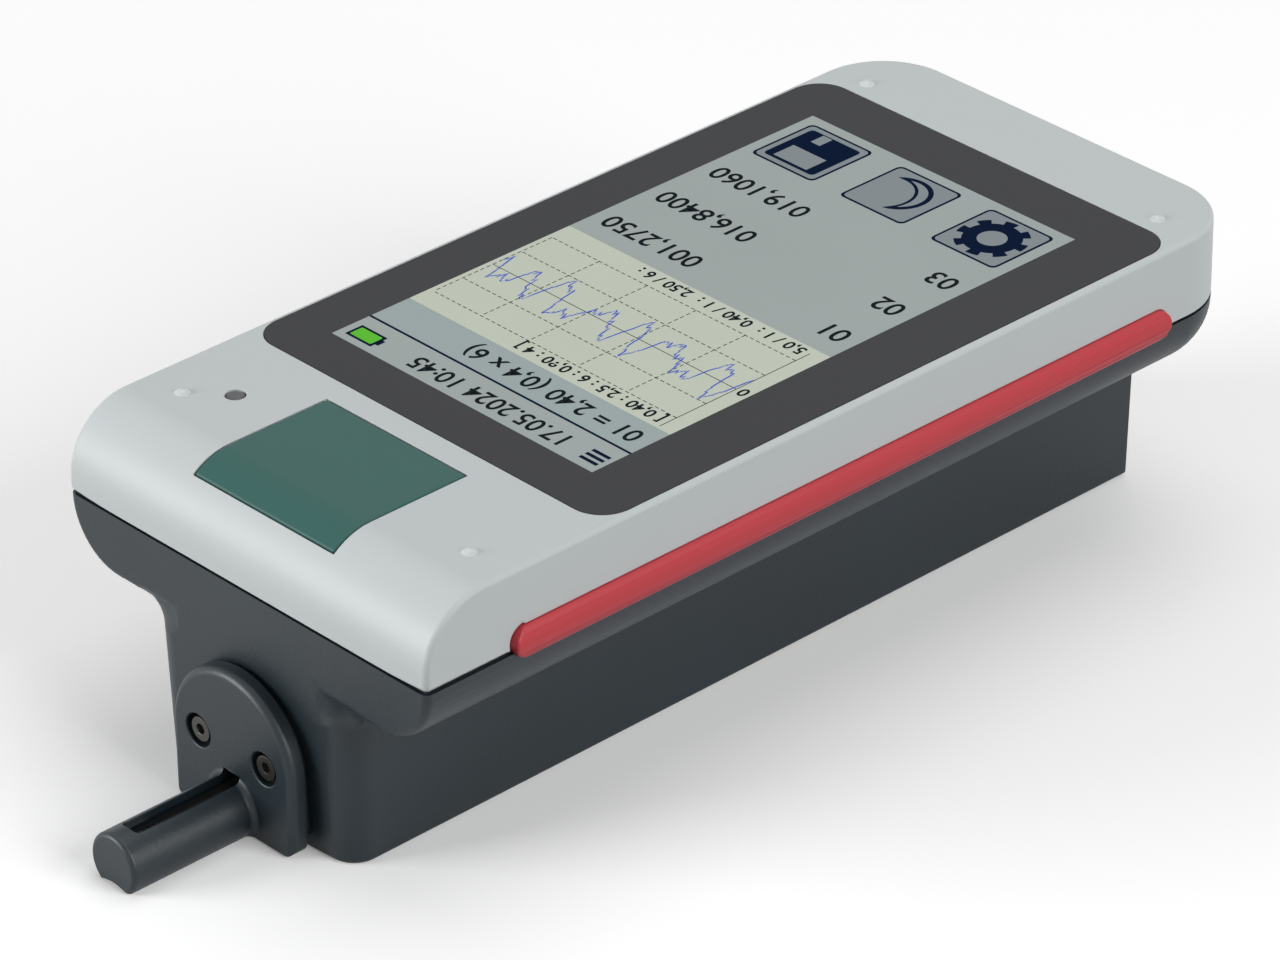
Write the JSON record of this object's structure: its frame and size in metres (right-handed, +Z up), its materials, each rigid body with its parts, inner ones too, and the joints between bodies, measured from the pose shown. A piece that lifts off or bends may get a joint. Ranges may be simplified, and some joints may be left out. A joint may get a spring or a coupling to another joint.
{
  "type": "surface roughness tester",
  "caption": "Handheld roughness tester with touch display, start button and motor drive that traces a skidded stylus pick-up inside a slotted guard finger.",
  "frame": {"origin": "on the flat base face, half way along the case without the guard finger, on the centre plane", "axes": "+Z up out of the display, +Y towards the guard finger and the pick-up, +X to the right of a user who sits behind the case"},
  "size_m": [0.077, 0.185, 0.05],
  "materials": {
    "cover_plastic": "satin",
    "case_plastic": "satin",
    "display_glass": "gloss",
    "module_metal": "satin",
    "button_plastic": "satin",
    "strip_plastic": "satin",
    "gasket_rubber": "matte",
    "clear_plastic": "satin",
    "black_plastic": "matte",
    "board_laminate": "satin",
    "cell_wrap": "gloss",
    "steel": "satin",
    "screw_steel": "dark satin",
    "brass": "satin",
    "aluminium": "satin",
    "carriage_plastic": "matte",
    "pickup_black": "satin",
    "stylus_stone": "gloss"
  },
  "bodies": {
    "case": {"top_cover": "cover_plastic", "display_glass": "display_glass", "display_module": "module_metal", "start_switch": "black_plastic", "led_light_pipe": "clear_plastic", "status_led": "clear_plastic", "side_strip_left": "strip_plastic", "side_strip_right": "strip_plastic", "case_gasket": "gasket_rubber", "base_housing": "case_plastic", "case_screws": "screw_steel", "main_board": "board_laminate", "board_components": "black_plastic", "battery_cradle": "black_plastic", "battery_cell": "cell_wrap", "battery_contacts": "brass", "usb_socket": "steel", "drive_chassis": "aluminium", "chassis_screws": "screw_steel", "drive_motor": "steel", "screw_bearings": "brass", "guide_rods": "steel", "probe_guard": "case_plastic", "guard_screws": "screw_steel"},
    "button": {"start_button": "button_plastic"},
    "screw": {"motor_shaft": "steel", "motor_coupling": "brass", "lead_screw": "steel"},
    "carriage": {"carriage": "carriage_plastic", "carriage_bushes": "brass", "drive_nut": "brass", "holder_pin": "steel"},
    "pickup": {"probe_holder": "carriage_plastic", "pickup_tube": "pickup_black", "pickup_skid": "steel", "sensor_coil": "brass", "stylus_pin": "steel"},
    "stylus": {"stylus_arm": "steel", "stylus_tip": "stylus_stone"}
  },
  "joints": [
    {"name": "start_press", "type": "slide", "parent": "case", "child": "button", "axis": [0, 0, -1], "range_m": [0, 0.0006], "stiffness_N_per_m": 500, "springref_m": -0.001},
    {"name": "carriage_travel", "type": "slide", "parent": "case", "child": "carriage", "axis": [0, 1, 0], "range_m": [-0.0175, 0]},
    {"name": "screw_spin", "type": "hinge", "parent": "case", "child": "screw", "pos_m": [0, 0.05, 0.017], "axis": [0, 1, 0], "continuous": true},
    {"name": "pickup_float", "type": "hinge", "parent": "carriage", "child": "pickup", "pos_m": [0, 0.0584, 0.0075], "axis": [1, 0, 0], "range_deg": [0, 0.5]},
    {"name": "stylus_pivot", "type": "hinge", "parent": "pickup", "child": "stylus", "pos_m": [0, 0.0802, 0.0039], "axis": [1, 0, 0], "range_deg": [-0.3, 0.3], "stiffness_Nm_per_rad": 0.01}
  ],
  "couplings": [
    {"joint": "screw_spin", "follows": "carriage_travel", "rad_per_m": 3141.6}
  ]
}
